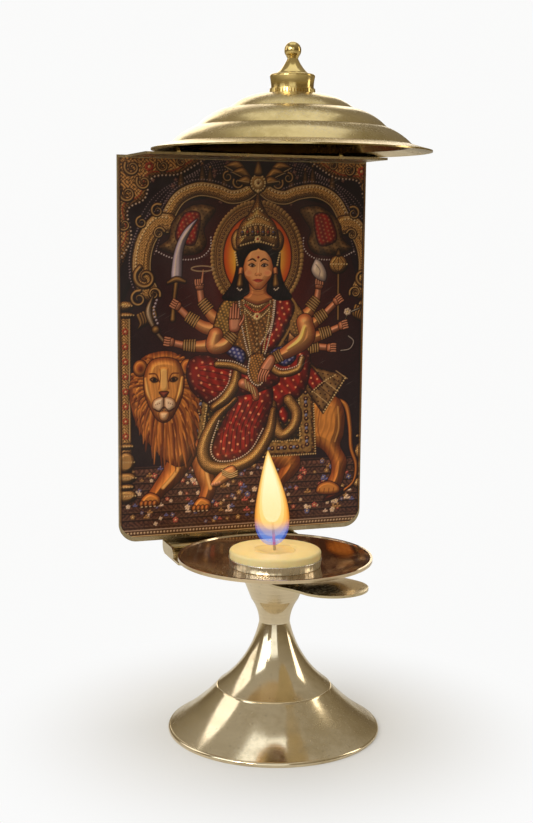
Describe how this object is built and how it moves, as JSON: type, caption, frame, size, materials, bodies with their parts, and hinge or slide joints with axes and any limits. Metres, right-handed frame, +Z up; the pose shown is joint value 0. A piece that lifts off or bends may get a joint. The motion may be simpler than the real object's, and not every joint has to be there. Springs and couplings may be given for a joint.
{
  "type": "picture lamp with candle dish",
  "caption": "Brass devotional table lamp: a trumpet foot carries a round candle dish with a thumb handle, a picture panel behind it and a stepped canopy with a finial over it.",
  "frame": {"origin": "on the floor, at the axis of the trumpet foot", "axes": "+Z up along the foot's axis; the picture faces -Y; +X is the picture's right as seen from the front"},
  "size_m": [0.1142, 0.1154, 0.2846],
  "materials": {
    "brass_foot": "polished",
    "brass_dish": "polished",
    "brass_sheet": "polished",
    "brass_canopy": "satin",
    "brass_finial": "polished",
    "brass_rivet": "satin",
    "steel_hardware": "satin",
    "fibre_washer": "matt",
    "printed_picture": "gloss laminate",
    "aluminium_cup": "bright",
    "wick_tab_steel": "satin",
    "candle_wax": "waxy",
    "wick_cotton": "waxed cotton"
  },
  "bodies": {
    "stand": {"foot_flare": "brass_foot", "stem_bell": "brass_foot", "neck_sleeve": "brass_foot", "stem_cup": "brass_foot", "dish": "brass_dish", "dish_stud": "steel_hardware", "swivel_washers": "fibre_washer", "cup_washer": "steel_hardware", "lock_washer": "steel_hardware", "stud_nut": "steel_hardware"},
    "head": {"back_plate": "brass_sheet", "picture_print": "printed_picture", "carrier_arm": "brass_sheet", "arm_rivets": "brass_rivet", "canopy_dome": "brass_canopy", "canopy_rivets": "brass_rivet", "finial_stud": "steel_hardware", "finial_washer": "steel_hardware", "finial_nut": "steel_hardware"},
    "handle": {"thumb_handle": "brass_dish"},
    "finial": {"finial_collar": "brass_finial", "finial_knob": "brass_finial"},
    "candle": {"candle_cup": "aluminium_cup", "wick_tab": "wick_tab_steel", "candle_wax": "candle_wax", "candle_wick": "wick_cotton"}
  },
  "joints": [
    {"name": "head_swivel", "type": "hinge", "parent": "stand", "child": "head", "pos_m": [0, 0, 0.0696], "axis": [0, 0, 1], "continuous": true},
    {"name": "handle_swing", "type": "hinge", "parent": "head", "child": "handle", "pos_m": [0, 0, 0.0683], "axis": [0, 0, 1], "range_deg": [-90, 66]},
    {"name": "finial_turn", "type": "hinge", "parent": "head", "child": "finial", "pos_m": [0, -0.0139, 0.27], "axis": [0, 0, 1], "continuous": true},
    {"name": "candle_lift", "type": "slide", "parent": "stand", "child": "candle", "axis": [0, 0, 1], "range_m": [0, 0.09]}
  ]
}
